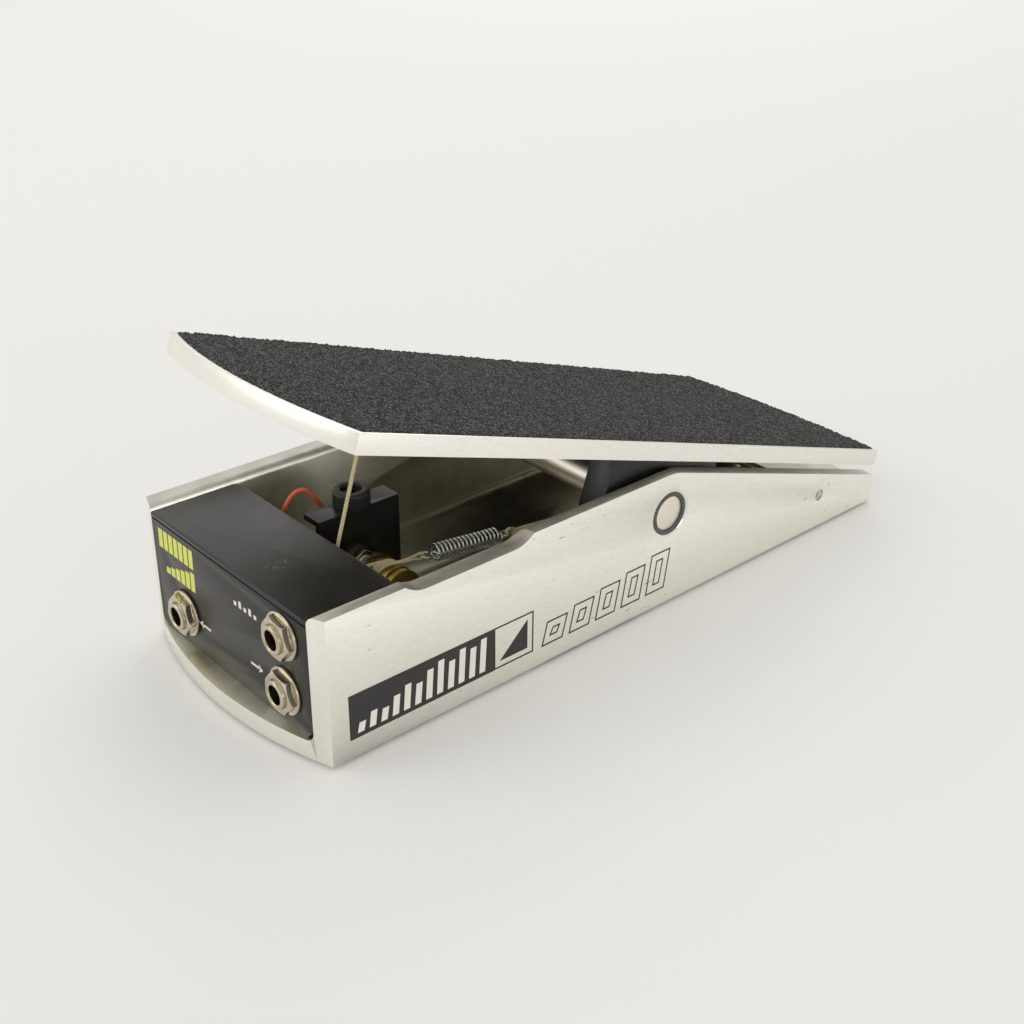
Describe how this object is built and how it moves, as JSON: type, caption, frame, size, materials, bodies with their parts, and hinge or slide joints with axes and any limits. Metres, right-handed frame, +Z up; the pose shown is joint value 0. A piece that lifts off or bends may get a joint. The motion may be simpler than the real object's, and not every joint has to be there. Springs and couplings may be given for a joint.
{
  "type": "volume pedal",
  "caption": "Foot volume pedal: aluminium channel base with three quarter-inch jacks, tilting gripped footboard and a string-and-spring drive to a rotary control.",
  "frame": {"origin": "centre of the footprint at rest, on the surface that the rubber pads stand on", "axes": "+Z up; +Y from the toe end with the jacks to the heel; +X to the side that carries the printed graphics; footboard at rest heel down"},
  "size_m": [0.1016, 0.281, 0.109],
  "materials": {
    "aluminium": "brushed, worn",
    "rubber": "matt",
    "nylon": "matt",
    "black_coat": "fine powder coat",
    "nickel": "polished nickel plate",
    "tinned_brass": "dull",
    "black_steel": "black oxide",
    "wire_jacket": "smooth",
    "steel": "turned",
    "string": "braided cord",
    "brass": "turned, tarnished",
    "spring_steel": "drawn wire",
    "grip": "coarse mineral grip",
    "black_anodised": "black anodised"
  },
  "bodies": {
    "base": {"base_channel": "aluminium", "rubber_feet": "rubber", "pivot_bushings": "nylon", "jack_plate": "black_coat", "jack_cover": "black_coat", "input_jack": "nickel", "output_jack": "nickel", "tuner_jack": "nickel", "jack_washers": "nickel", "jack_nuts": "nickel", "pot_bracket": "black_coat", "pot_body": "nickel", "pot_terminals": "tinned_brass", "pot_nut": "nickel", "toe_bumper": "rubber", "heel_bumper": "rubber", "bumper_screws": "black_steel", "floor_screws": "black_steel", "floor_nuts": "nickel", "signal_wire": "wire_jacket", "toe_guide_pin": "steel", "heel_guide_pin": "steel", "toe_string": "string", "spring_string": "string", "heel_string": "string"},
    "treadle": {"footboard": "aluminium", "grip_sheet": "grip", "pivot_bracket": "black_anodised", "pivot_shaft": "steel", "shaft_screws": "black_steel", "board_screws": "black_steel", "toe_eyelet": "steel", "heel_eyelet": "steel"},
    "drum": {"pot_shaft": "nickel", "string_drum": "brass", "drum_screw": "black_steel", "string_turns": "string"},
    "spring_toe_end": {"spring_toe_loop": "spring_steel"},
    "spring_heel_end": {"spring_coil": "spring_steel", "spring_heel_loop": "spring_steel"}
  },
  "joints": [
    {"name": "treadle_tilt", "type": "hinge", "parent": "base", "child": "treadle", "pos_m": [0, 0.01168, 0.0369], "axis": [1, 0, 0], "range_deg": [0, 18.2], "deforming": ["toe_string", "spring_string", "heel_string", "spring_coil"]},
    {"name": "drum_turn", "type": "hinge", "parent": "base", "child": "drum", "pos_m": [0, -0.08132, 0.0281], "axis": [-1, 0, 0], "range_deg": [0, 285]},
    {"name": "spring_toe_slide", "type": "slide", "parent": "base", "child": "spring_toe_end", "axis": [0, 0.9925, -0.1225], "range_m": [0, 0.0346]},
    {"name": "spring_heel_slide", "type": "slide", "parent": "base", "child": "spring_heel_end", "axis": [0, 0.9925, -0.1225], "range_m": [0, 0.0294]}
  ],
  "couplings": [
    {"joint": "drum_turn", "follows": "treadle_tilt", "ratio": 15.517},
    {"joint": "spring_toe_slide", "follows": "treadle_tilt", "m_per_rad": 0.10706},
    {"joint": "spring_heel_slide", "follows": "treadle_tilt", "m_per_rad": 0.090768}
  ]
}
